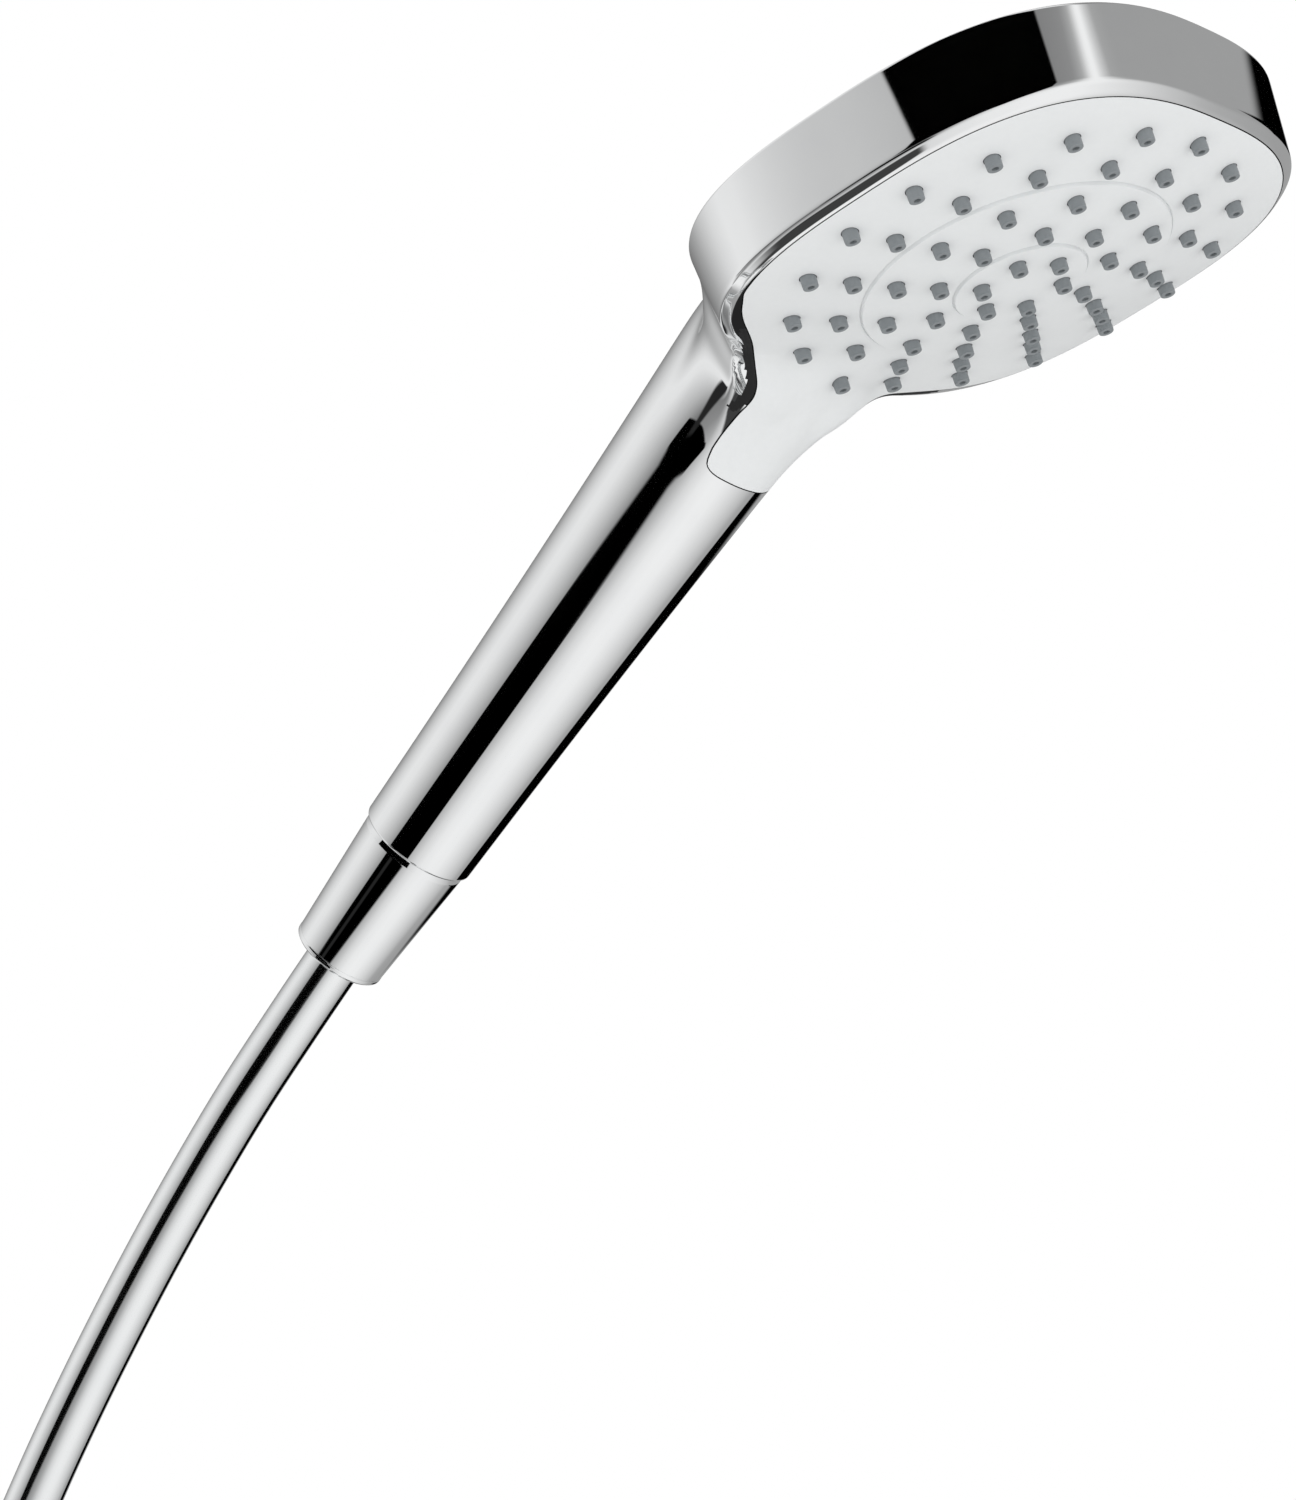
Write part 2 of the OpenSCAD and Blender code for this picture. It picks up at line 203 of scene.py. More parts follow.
def normals_on(p, field=skin_field):
    g = slope(field, p)
    return g / np.linalg.norm(g, axis=-1, keepdims=True)


# ---------------------------------------------------------------- curves

def smooth_line(points, count, power=0.5):
    """A centripetal spline through the points, as count points equally far apart."""
    p = np.asarray(points, float)
    p = np.vstack([2 * p[0] - p[1], p, 2 * p[-1] - p[-2]])
    out = []
    for i in range(1, len(p) - 2):
        a, b, c, d = p[i - 1:i + 3]
        t0 = 0.0
        t1 = t0 + np.linalg.norm(b - a) ** power
        t2 = t1 + np.linalg.norm(c - b) ** power
        t3 = t2 + np.linalg.norm(d - c) ** power
        t = np.linspace(t1, t2, 24, endpoint=False)[:, None]
        a1 = (t1 - t) / (t1 - t0) * a + (t - t0) / (t1 - t0) * b
        a2 = (t2 - t) / (t2 - t1) * b + (t - t1) / (t2 - t1) * c
        a3 = (t3 - t) / (t3 - t2) * c + (t - t2) / (t3 - t2) * d
        b1 = (t2 - t) / (t2 - t0) * a1 + (t - t0) / (t2 - t0) * a2
        b2 = (t3 - t) / (t3 - t1) * a2 + (t - t1) / (t3 - t1) * a3
        out.append((t2 - t) / (t2 - t1) * b1 + (t - t1) / (t2 - t1) * b2)
    out = np.vstack(out + [p[-2:-1]])
    return even(out, count)


def even(line, count):
    d = np.r_[0, np.cumsum(np.linalg.norm(np.diff(line, axis=0), axis=1))]
    s = np.linspace(0, d[-1], count)
    return np.column_stack([np.interp(s, d, line[:, i]) for i in range(line.shape[1])])


def on_grip(z, around):
    a, r = np.radians(around), grip_radius(np.asarray(z, float))
    return np.stack(np.broadcast_arrays(r * np.sin(a), -r * np.cos(a), z), -1)


def seam_half():
    """The seam round the face and its tongue, for x >= 0, in plan (x, u), from the tongue's side to the tip."""
    neck = [(12.45, -70.6), (12.9, -67.5), (13.3, -64.5), (13.8, -61.5), (14.35, -58.6), (15.25, -56.1),
            (16.8, -53.7), (19.2, -51.5), (22.3, -49.0), (25.4, -46.8), (28.6, -44.8), (32.3, -42.8),
            (36.0, -40.8), (39.3, -38.6), (42.1, -36.1)]
    psi = np.linspace(math.atan2(44.3, 33.75), math.pi, 60)
    r = squircle_radius(FACE_HALF, psi, FACE_POWER)
    return smooth_line(neck + list(zip(r * np.sin(psi), -r * np.cos(psi))), 600)


def front_height(x, u):
    """Height n of the skin's front over a point of the face's plan."""
    x, u = np.asarray(x, float), np.asarray(u, float)
    low, high = np.full(x.shape, -16.0), np.full(x.shape, 9.0)
    for _ in range(34):
        mid = (low + high) / 2
        inside = skin_field(from_head(x, u, mid)) < 0
        low, high = np.where(inside, mid, low), np.where(inside, high, mid)
    return (low + high) / 2


# ---------------------------------------------------------------- the casing's grid

def column_shares():
    """Where the columns stand between the seam, the lip, the back edge and the back's middle, as shares."""
    seam_lip = [0, 0.08, 0.17, 0.26, 0.35, 0.44, 0.53, 0.62, 0.7, 0.78, 0.85, 0.91, 0.96]
    edge = [0.0, 0.012, 0.03, 0.065, 0.12]
    lip_back = edge + list(np.linspace(0.2, 0.8, 8)) + [1 - e for e in edge[:0:-1]]
    back_mid = [0.0, 0.006, 0.015, 0.03, 0.055, 0.09] + list(np.linspace(0.14, 1, 18))
    return seam_lip, lip_back, back_mid


def casing_rails():
    """Rows of (seam, lip, back edge, back middle) points, from the handle's end to the tip of the head."""
    rows = []
    heights = list(np.r_[0.75:104:2.6]) + [105.5, 106.6, 107.1]
    around = [32.3] * len(heights)
    heights += [107.25, 107.5, 107.9, 108.5, 109.4, 110.5]
    around += [36.3, 39.6, 42.4, 44.6, 46.0, 47.0]
    for z, a in zip(heights, around):
        rows.append([on_grip(z, a), on_grip(z, 56), on_grip(z, 104), on_grip(z, 180)])
    # the neck
    seam = seam_half()
    turn = NECK_TURN
    psi = np.arctan2(seam[:, 0], -seam[:, 1])
    first = int(np.argmax((psi > turn) & (seam[:, 0] > 20)))
    count = 62
    part = even(seam[:first + 1], count)
    seam_rail = from_head(part[:, 0], part[:, 1], front_height(part[:, 0], part[:, 1]))
    lip_r, back_r = squircle_radius(LIP_HALF, turn, LIP_POWER), squircle_radius(BACK_HALF, turn, BACK_POWER)
    lip_rail = smooth_line([on_grip(111.5, 56), on_grip(118, 58), on_grip(124, 61), on_grip(129.5, 66),
        from_head(20.3, -52.9, -9.7), from_head(23.7, -51.5, -9.2),
        from_head(lip_r * math.sin(turn), -lip_r * math.cos(turn), LIP_N)], count)
    back_rail = smooth_line([on_grip(111.5, 104), on_grip(118, 104), on_grip(125, 104), on_grip(131, 104),
        on_grip(135, 103.5), from_head(20.6, -53.5, BACK_N), from_head(24.0, -52.7, BACK_N),
        from_head(back_r * math.sin(turn), -back_r * math.cos(turn), BACK_N)], count)
    mid_rail = smooth_line([on_grip(111.5, 180), on_grip(122, 180), on_grip(132, 180),
        from_head(0, -52, -38.6), from_head(0, -44, -39.1), from_head(0, -34, -38.8)], count)
    rows += [list(r) for r in zip(seam_rail, lip_rail, back_rail, mid_rail)]
    # round the head
    turns = np.linspace(turn, math.pi, 96)[1:]
    share = np.linspace(0, 1, 96)[1:]
    rest = seam[first:]
    rest_psi = np.arctan2(rest[:, 0], -rest[:, 1])
    for psi, t in zip(turns, share):
        x, u = np.interp(psi, rest_psi, rest[:, 0]), np.interp(psi, rest_psi, rest[:, 1])
        lip_r = squircle_radius(LIP_HALF, psi, LIP_POWER)
        back_r = squircle_radius(BACK_HALF, psi, BACK_POWER)
        sn, cs = math.sin(psi), -math.cos(psi)
        if psi > math.pi - 1e-9:
            x, sn = 0.0, 0.0
        rows.append([from_head(x, u, float(front_height(x, u))), from_head(lip_r * sn, lip_r * cs, LIP_N),
            from_head(back_r * sn, back_r * cs, BACK_N), from_head(0, -34 + 83 * t, -30)])
    return np.array(rows), len(around)


def casing_skin():
    """The casing's outer skin for x >= 0 as a grid, and the first row past the tongue's end."""
    rails, past = casing_rails()
    seam_lip, lip_back, back_mid = column_shares()
    front = np.linspace(0, 1, 9)[:-1]
    start = rails[:, 0].copy()
    start[:, 0] = 0
    start[:, 1] = -grip_radius(np.minimum(start[:, 2], 112))
    lines = [np.stack([a + (b - a) * s for s in shares], 1) for a, b, shares in (
        (start, rails[:, 0], front), (rails[:, 0], rails[:, 1], seam_lip),
        (rails[:, 1], rails[:, 2], lip_back), (rails[:, 2], rails[:, 3], back_mid))]
    grid = np.concatenate(lines, 1)
    keep = grid[:, len(front)].copy()
    grid = settle(grid.reshape(-1, 3)).reshape(grid.shape)
    # round the neck and the head the seam stays where its rail put it
    grid[past:, len(front)] = keep[past:]
    grid[:, -1, 0] = 0
    grid[-1, :, 0] = 0
    return grid, past - 6, len(front)


# ---------------------------------------------------------------- closing and turning

def make_mesh(name, points, faces, normals=None, flat_from=None):
    """A mesh object from handset millimetres; faces from flat_from on are shaded flat."""
    mesh = bpy.data.meshes.new(name)
    mesh.from_pydata(to_row(points).tolist(), [], [tuple(map(int, f)) for f in faces])
    mesh.shade_smooth()
    for face in mesh.polygons:
        face.use_smooth = flat_from is None or face.index < flat_from
    if normals is not None:
        turned = turn_to_row(normals)
        flat_from = len(faces) if flat_from is None else flat_from
        corners = []
        for face in mesh.polygons:
            for corner in face.loop_indices:
                v = mesh.loops[corner].vertex_index
                corners.append(tuple(turned[v] if face.index < flat_from else face.normal))
        mesh.normals_split_custom_set(corners)
    ob = bpy.data.objects.new(name, mesh)
    bpy.context.scene.collection.objects.link(ob)
    return ob


def weld(points, faces, *others):
    """Merges points at one place, and leaves out the faces and corners that this closes up."""
    keys = np.round(points, 4) + 0.0
    _, first, index = np.unique(keys, axis=0, return_index=True, return_inverse=True)
    index = index.ravel()
    kept = []
    for face in faces:
        corners = list(dict.fromkeys(int(index[i]) for i in face))
        if len(corners) > 2:
            kept.append(corners)
    used = np.unique([i for f in kept for i in f])
    number = np.full(len(first), -1)
    number[used] = np.arange(len(used))
    kept = [[int(number[i]) for i in f] for f in kept]
    return (points[first][used], kept) + tuple(o[first][used] for o in others)


def closed_shell(name, outer, inner, faces, normals):
    """Joins an open skin to its own inner side along every free edge."""
    n = len(outer)
    edges = {(a, b) for f in faces for a, b in zip(f, f[1:] + f[:1])}
    skirt = [(b, a, a + n, b + n) for a, b in sorted(edges) if (b, a) not in edges]
    back = [[i + n for i in reversed(f)] for f in faces]
    return make_mesh(name, np.vstack([outer, inner]), faces + back + skirt,
        np.vstack([normals, -normals]), 2 * len(faces))


def rounded(corners, step=12):
    """Rows of (r, z, normal r, normal z) for a closed outline of anticlockwise corners (r, z, radius)."""
    out = []
    for i, (r, z, radius) in enumerate(corners):
        a = np.array(corners[i - 1][:2], float)
        b = np.array((r, z), float)
        c = np.array(corners[(i + 1) % len(corners)][:2], float)
        before, after = b - a, c - b
        room = 0.49 * min(np.linalg.norm(before), np.linalg.norm(after))
        d1, d2 = before / np.linalg.norm(before), after / np.linalg.norm(after)
        turn = math.atan2(d1[0] * d2[1] - d1[1] * d2[0], d1 @ d2)
        if abs(turn) < 1e-4:
            out.append((r, z, d1[1], -d1[0]))
            continue
        size = min(radius, room / math.tan(abs(turn) / 2))
        way = math.copysign(1, turn)
        centre = b - d1 * size * math.tan(abs(turn) / 2) + size * way * np.array([-d1[1], d1[0]])
        for s in np.linspace(0, turn, max(2, int(math.degrees(abs(turn)) / step) + 2)):
            n = np.array([math.cos(s) * d1[1] + math.sin(s) * d1[0],
                -math.cos(s) * d1[0] + math.sin(s) * d1[1]])
            out.append((*(centre + n * size * way), *n))
    return np.array(out)


def lathe(profile, count, loop=True):
    """Turns rows of (r, z, normal r, normal z) about Z; an open profile starts and ends on the axis."""
    phi = np.linspace(0, 2 * math.pi, count, endpoint=False)[:, None]
    r, z, nr, nz = (profile[:, i][None, :] for i in range(4))
    points = np.stack([r * np.cos(phi), r * np.sin(phi), z + 0 * phi], -1).reshape(-1, 3)
    normals = np.stack([nr * np.cos(phi), nr * np.sin(phi), nz + 0 * phi], -1).reshape(-1, 3)
    m = profile.shape[0]
    faces = [[j * m + i, k * m + i, k * m + l, j * m + l]
        for j in range(count) for k in [(j + 1) % count]
        for i in range(m if loop else m - 1) for l in [(i + 1) % m]]
    return (points, faces, normals) if loop else weld(points, faces, normals)


def mirror_to_full(points, faces, *others):
    """Adds the other half of a skin given for x >= 0; others are vectors or points of the same rows."""
    flip = np.array([-1.0, 1, 1])
    n = len(points)
    both = [np.vstack([p, p * flip]) for p in (points,) + others]
    faces = [list(f) for f in faces] + [[i + n for i in reversed(f)] for f in faces]
    return weld(both[0], faces, *both[1:])


# ---------------------------------------------------------------- pieces

SKIN, TONGUE_ROW, FRONT = casing_skin()


def in_painted_dark_band(points):
    """The painted dark band at the neck, where the casing dips to the seam beside the face: black paint standing
    in for the chrome's dark reflection there.
    """
    x, u, n = to_head(points)
    # beside the tongue's shoulders, on the front above the lip
    near = (np.abs(x) > 14.2) & (np.abs(x) < 34) & (u > -62.5) & (u < -41) & (n > -8.6)
    gap = np.full(len(points), np.inf)
    gap[near] = nearest(np.column_stack([x, u])[near], opening())
    return gap < PAINTED_BAND_WIDTH


def build_casing(settings):
    """The chromed casing: one skin from the handle's end to the tip of the head, open for the face."""
    skin = SKIN
    first = TONGUE_ROW - 1
    rows, columns = skin.shape[:2]
    normals = normals_on(skin.reshape(-1, 3)).reshape(skin.shape)
    normals[:, -1, 0] = 0
    normals[:first + 1, 0, 0] = 0
    inner = skin - CASING_WALL * normals
    # the rounding at the handle's lower end
    turn = np.radians(np.linspace(90, 0, 7))[:-1, None]
    start = skin[0]
    around = start[:, :2] / np.linalg.norm(start[:, :2], axis=1, keepdims=True)
    r = grip_radius(END_ROUND) - END_ROUND * (1 - np.cos(turn))
    z = END_ROUND * (1 - np.sin(turn))
    end = np.stack([r * around[:, 0], r * around[:, 1], z + 0 * around[:, 0]], -1)
    end_n = np.stack([np.cos(turn) * around[:, 0], np.cos(turn) * around[:, 1],
        -np.sin(turn) + 0 * around[:, 0]], -1)
    bore = end.copy()
    bore[..., :2] = around * BORE_R
    skin, normals, inner = (np.concatenate(p) for p in ((end, skin), (end_n, normals), (bore, inner)))
    first += len(end)
    rows += len(end)
    faces = [[i * columns + j, i * columns + j + 1, (i + 1) * columns + j + 1, (i + 1) * columns + j]
        for i in range(rows - 1) for j in range(columns - 1) if i < first or j >= FRONT]
    parts = [p.reshape(-1, 3) for p in (skin, normals, inner)]
    outer, faces, normals, inner = mirror_to_full(parts[0], faces, parts[1], parts[2])
    casing = closed_shell("Casing", outer, inner, faces, normals)
    dress(casing, chrome(settings))
    # painted shade: the casing's inner side and free edges go black
    paint_shade_inside(casing)
    # painted dark reflection: the faces of the band beside the tongue take the black material in place of the
    # chrome's own reflection
    dark = in_painted_dark_band(outer)
    for face, corners in zip(casing.data.polygons, faces):
        if dark[corners].all():
            face.material_index = 1
    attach(casing, "handset")
    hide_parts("casing")


def opening():
    """The casing's opening in plan, anticlockwise from the middle of the tongue's end."""
    edge = np.vstack([SKIN[TONGUE_ROW - 1, :FRONT], SKIN[TONGUE_ROW - 1:, FRONT]])
    x, u, _ = to_head(edge)
    half = np.column_stack([x, u])
    half = half[np.r_[True, np.linalg.norm(np.diff(half, axis=0), axis=1) > 0.05]]
    half[0, 0] = half[-1, 0] = 0
    return np.vstack([half, half[-2:0:-1] * [-1, 1]])


def inset(loop, distance):
    """A closed anticlockwise loop, moved inwards."""
    d = np.roll(loop, -1, 0) - np.roll(loop, 1, 0)
    d /= np.linalg.norm(d, axis=1, keepdims=True)
    return loop + distance * np.column_stack([-d[:, 1], d[:, 0]])


def inside(points, loop):
    """Whether each point is inside a closed loop."""
    x, y = points[:, :1], points[:, 1:]
    a, b = loop, np.roll(loop, -1, 0)
    crosses = (a[:, 1] > y) != (b[:, 1] > y)
    rise = np.where(b[:, 1] == a[:, 1], 1e-9, b[:, 1] - a[:, 1])
    left = x < (b[:, 0] - a[:, 0]) * (y - a[:, 1]) / rise + a[:, 0]
    return (crosses & left).sum(1) % 2 == 1


def circle(x, y, radius, count):
    phi = np.linspace(0, 2 * math.pi, count, endpoint=False)
    return np.column_stack([x + radius * np.cos(phi), y + radius * np.sin(phi)])


def nozzle_spots():
    """Six nozzles in the first ring, three more in each ring after it."""
    spots = []
    for k in range(1, 6):
        count = 3 * k + 3
        for j in range(count):
            turn = 2 * math.pi * j / count
            spots.append((RING_PITCH * k * math.sin(turn), RING_PITCH * k * math.cos(turn)))
    return spots


def nearest(points, marks):
    """How far each point is from the nearest mark."""
    return np.sqrt(((points[:, None] - marks[None]) ** 2).sum(-1)).min(1)


def head_vectors(n):
    """Directions in head axes to handset directions."""
    return n[:, :1] * [1.0, 0, 0] + n[:, 1:2] * UP_FACE + n[:, 2:] * SPRAY


def step_rise(r):
    """How far the face stands above its outer field; a fine groove runs along the foot of each step."""
    rise = 0.0 * r
    for at in STEPS:
        t = np.clip((r - at + STEP_WIDTH) / (2 * STEP_WIDTH), 0, 1)
        rise = rise + STEP_DROP * (1 - t * t * (3 - 2 * t))
        foot = np.clip(1 - np.abs(r - at - STEP_WIDTH) / (2 * STEP_WIDTH), 0, 1)
        rise = rise - GROOVE * foot * foot * (3 - 2 * foot)
    return rise


def face_surface(x, u):
    """Points and normals of the spray face over its plan, steps included."""
    n = front_height(x, u)
    p = from_head(x, u, n)
    normals = normals_on(p)
    r = np.hypot(x, u)
    p = p + step_rise(r)[:, None] * SPRAY
    fall = (step_rise(r - 0.01) - step_rise(r + 0.01)) / 0.02
    lean = fall / np.maximum(r, 1e-6)
    level = normals @ SPRAY
    normals = normals + (level * lean * x)[:, None] * [1.0, 0, 0] + (level * lean * u)[:, None] * UP_FACE
    return p, normals / np.linalg.norm(normals, axis=1, keepdims=True)


def build_face(settings):
    """The light face plate with its tongue, holes and two round steps."""
    outline = inset(opening(), settings.seam)
    holes = [circle(x, u, HOLE_R, 28) for x, u in nozzle_spots()]
    steps = [circle(0, 0, at + s * STEP_WIDTH, count) for at, count in zip(STEPS, (120, 220))
        for s in (-1.6, -1, -0.5, 0, 0.5, 1, 1.6, 2.3, 3, 3.6)]
    rim = [inset(outline, d) for d in (0.35, 1.0)]
    loops = [outline] + holes
    seeds = np.stack(np.meshgrid(np.arange(-52, 52, 1.9), np.arange(-78, 53, 1.9)), -1).reshape(-1, 2)
    seeds = seeds[inside(seeds, inset(outline, 1.6))]
    marks = np.vstack(holes + steps)
    spots = np.array(nozzle_spots())
    seeds = seeds[(nearest(seeds, marks) > 0.5) & (nearest(seeds, spots) > HOLE_R + 0.5)]
    plan, edges = [], []
    for loop in loops:
        edges += [(len(plan) + i, len(plan) + (i + 1) % len(loop)) for i in range(len(loop))]
        plan += list(map(tuple, loop))
    for extra in rim + steps + [seeds]:
        plan += list(map(tuple, extra[nearest(extra, spots) > HOLE_R + 0.12]))
    verts, _, triangles, *_ = delaunay_2d_cdt([Vector(p) for p in plan], edges, [], 0, 1e-5)
    verts = np.array([tuple(v) for v in verts])
    triangles = np.array([tuple(t) for t in triangles])
    middle = verts[triangles].mean(1)
    triangles = triangles[inside(middle, outline) & (nearest(middle, spots) > HOLE_R * 0.995)]
    a, b, c = (verts[triangles[:, i]] for i in range(3))
    turned = (b - a)[:, 0] * (c - a)[:, 1] - (b - a)[:, 1] * (c - a)[:, 0] < 0
    triangles[turned] = triangles[turned][:, ::-1]
    used, triangles = np.unique(triangles, return_inverse=True)
    triangles = triangles.reshape(-1, 3)
    verts = verts[used]
    points, normals = face_surface(verts[:, 0], verts[:, 1])
    base = normals_on(from_head(verts[:, 0], verts[:, 1], front_height(verts[:, 0], verts[:, 1])))
    inner = points - FACE_WALL * base
    face = closed_shell("Spray_face", points, inner, [list(map(int, t)) for t in triangles], normals)
    dress(face, face_plastic(settings))
    # painted shade: the face plate's inner side and free edges go black
    paint_shade_inside(face)
    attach(face, "handset")
    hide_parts("spray_face")


def build_nozzles():
    """Sixty soft nozzles that stand out of the holes, on their domed mat."""
    points, faces, normals = [], [], []
    total = 0

    def take(p, f, n):
        nonlocal total
        points.append(p)
        normals.append(n)
        faces.extend([[i + total for i in corner] for corner in f])
        total += len(p)

    # from the bottom's middle, up the outside, into the jet's hole
    outline = [(0, NOZZLE_LOW, 0.05), (1.6, NOZZLE_LOW, 0.05), (1.6, 1.2, 0.3), (1.55, 2.02, 0.15),
        (1.42, 2.1, 0.1), (0.7, 2.1, 0.1), (0.6, JET_LOW, 0.05), (0, JET_LOW, 0.05)]
    profile = rounded(outline)[1:-1]
    profile = np.vstack([[0, NOZZLE_LOW, 0, -1], profile[profile[:, 0] > 0.03], [0, JET_LOW, 0, 1]])
    p, f, n = lathe(profile, 28, loop=False)
    for x, u in nozzle_spots():
        level = float(front_height(x, u) + step_rise(math.hypot(x, u)))
        take(from_head(x + p[:, 0], u + p[:, 1], level + p[:, 2]), f, head_vectors(n))
    # the mat under them, as a dish with the face's own dome
    r = np.linspace(0, MAT_R, 20)
    top = np.column_stack([r, -r * r / DOME - MAT_DEPTH, r / (DOME / 2), np.ones_like(r)])
    low = top * [1, 1, -1, -1] - [0, MAT_THICK, 0, 0]
    p, f, n = lathe(np.vstack([low, top[::-1]]), 96, loop=False)
    take(from_head(p[:, 0], p[:, 1], p[:, 2]), f, head_vectors(n))
    normals = np.vstack(normals)
    normals /= np.linalg.norm(normals, axis=1, keepdims=True)
    mat = make_mesh("Nozzle_mat", np.vstack(points), faces, normals)
    dress(mat, silicone())
    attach(mat, "handset")
    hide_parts("nozzle_mat")


def build_nut(settings):
    """The cone nut: a bevelled band at its top, a long cone, and a rounded rim round the hose."""
    rim = [(7.75, -30.9, 0.3), (8.1, -31.4, 0.3), (9.7, -31.4, 0.5), (10.32, -30.9, 0.4),
        (10.34, -30.2, 0.25), (10.16, -29.98, 0.08), (10.3, -29.8, 0.1)]
    band = [(11.93, -1.62, 0.12), (11.93, -1.4, 0.1), (11.5, -0.1, 0.15)]
    bore = [(10.5, -0.1, 0.2), (10.5, -13, 0.1), (9.05, -13, 0.1), (9.05, -18.1, 0.1), (7.75, -18.1, 0.1)]
    p, f, n = lathe(rounded(rim + band + bore), 192)
    nut = make_mesh("Cone_nut", p, f, n)
    dress(nut, chrome(settings))
    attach(nut, "handset")
    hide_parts("cone_nut")


# Route of the hose in row millimetres: out of the nut, down to the surface, round the coil, to the tap
HOSE_R = 6.1
DROP = [(0, 2.6, -3.1), (0, 10.5, -12.6), (0, 22.8, -28.2), (0, 34.9, -44.2), (0, 46.2, -60.7), (0, 57, -77.6),
    (0, 67.2, -94.8), (0, 76.9, -112.2), (0, 86, -129.9), (0, 94.3, -148), (0, 100.8, -166.9),
    (0, 104.8, -186.4),
    (0, 106.1, -206.4), (0.8, 106.2, -221.4), (4, 106, -236), (10.6, 105.2, -250.2), (20.2, 102.4, -263.3),
    (32.2, 96, -274.4), (44.8, 84.6, -282), (53.6, 70.6, -285.2), (56.7, 60.1, -285.7)]
COIL_AT = (0.0, 48.0, -285.7)
COIL_R, COIL_PITCH, COIL_TURNS, COIL_START = 58.0, 12.3, 2.5333, 12.0
TO_TAP = [(-0.6, 14, 0.5), (-1, 28, 2.4), (-1.2, 40, 4.3), (-1.2, 50, 5.2), (-1.2, 62, 5.2)]


def hose_line():
    t = np.linspace(0, COIL_TURNS, 320)
    a = np.radians(COIL_START - 360 * t)
    r = COIL_R + COIL_PITCH * t
    coil = np.column_stack([COIL_AT[0] + r * np.cos(a), COIL_AT[1] + r * np.sin(a), COIL_AT[2] + 0 * r])
    tail = coil[-1] + np.array(TO_TAP)
    drop = smooth_line(DROP + [tuple(coil[4])], 400)
    end = smooth_line([tuple(coil[-5]), tuple(coil[-1])] + [tuple(p) for p in tail], 60)
    return np.vstack([drop[:-1], coil[4:-5], end])


def build_hose():
    """The smooth hose, as one curve at its real length."""
    line = hose_line() * MM
    data = bpy.data.curves.new("Hose", "CURVE")
    data.dimensions = "3D"
    data.bevel_depth = HOSE_R * MM
    data.bevel_resolution = 14
    data.use_fill_caps = True
    spline = data.splines.new("POLY")
    spline.points.add(len(line) - 1)
    spline.points.foreach_set("co", np.column_stack([line, np.ones(len(line))]).ravel())
    spline.use_smooth = True
    hose = bpy.data.objects.new("Hose", data)
    bpy.context.scene.collection.objects.link(hose)
    dress(hose, hose_skin())
    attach(hose, "hose_line")
    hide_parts("hose", "hose_coil", "hose_tail")


# ---------------------------------------------------------------- materials

def colour(code):
    """A colour as the screen shows it, turned to the shader's linear values."""
    parts = [int(code[i:i + 2], 16) / 255 for i in (1, 3, 5)]
    return tuple(v / 12.92 if v <= 0.04045 else ((v + 0.055) / 1.055) ** 2.4 for v in parts) + (1.0,)


def add(tree, kind, settings=None, links=None):
    """Adds a node; links takes a value or another node's socket for each input."""
    node = tree.nodes.new(kind)
    for key, value in (settings or {}).items():
        setattr(node, key, value)
    for key, value in (links or {}).items():
        if isinstance(value, bpy.types.NodeSocket):
            tree.links.new(value, node.inputs[key])
        else:
            node.inputs[key].default_value = value
    return node


def combine(tree, operation, a, b):
    return add(tree, "ShaderNodeMath", {"operation": operation}, {0: a, 1: b}).outputs[0]


def noise(tree, size_mm, detail=3.0, stretch=(1, 1, 1)):
    """Noise between 0 and 1, its grains size_mm across."""
    place = add(tree, "ShaderNodeTexCoord").outputs["Object"]
    scale = [s / (size_mm * MM) for s in stretch]
    place = add(tree, "ShaderNodeMapping", None, {"Vector": place, "Scale": scale}).outputs[0]
    return add(tree, "ShaderNodeTexNoise", None, {"Vector": place, "Scale": 1.0, "Detail": detail}).outputs[0]


def spread(tree, value, low, high):
    """Takes a value from 0..1 to low..high."""
    return add(tree, "ShaderNodeMapRange", None, {"Value": value, "To Min": low, "To Max": high}).outputs[0]


def tinted(tree, value, first, second):
    mix = add(tree, "ShaderNodeMix", {"data_type": "RGBA"}, {"Factor": value})
    mix.inputs[6].default_value, mix.inputs[7].default_value = colour(first), colour(second)
    return mix.outputs[2]


def surface(name, shades, rough, metal=0.0, grain=1.2, relief=None, stretch=(1, 1, 1), **more):
    """A material whose colour, gloss and relief vary by noise. rough is its lowest and highest roughness, and
    relief is the size and the depth of its finest texture, in millimetres."""
    if name in bpy.data.materials:
        return bpy.data.materials[name]
    material = bpy.data.materials.new(name)
    material.use_nodes = True
    tree = material.node_tree
    shader = tree.nodes["Principled BSDF"]
    field = noise(tree, grain, stretch=stretch)
    links = {"Base Color": tinted(tree, field, *shades), "Roughness": spread(tree, field, *rough),
        "Metallic": metal}
    if relief:
        height = noise(tree, relief[0], 2.0, stretch)
        bump = add(tree, "ShaderNodeBump", None,
            {"Strength": 1.0, "Distance": relief[1] * MM, "Height": height})
        links["Normal"] = bump.outputs[0]
    for key, value in {**links, **more}.items():
        if isinstance(value, bpy.types.NodeSocket):
            tree.links.new(value, shader.inputs[key])
        else:
            shader.inputs[key].default_value = value
    return material


def chrome(settings):
    # bright chrome on a polished base: a sharp mirror with a faint cool cast
    rough = (settings.polish, settings.polish + 0.015)
    return surface("Chrome_plated", ("#F0F1F2", "#F5F6F6"), rough, 1.0, 9.0)


def face_plastic(settings):
    # injection-moulded satin ABS: an even light grey with a broad soft sheen
    return surface("ABS_satin_moulded", ("#DFE1E2", "#E3E5E6"), (0.34, 0.42), 0.0, 1.4, (0.35, 0.004))


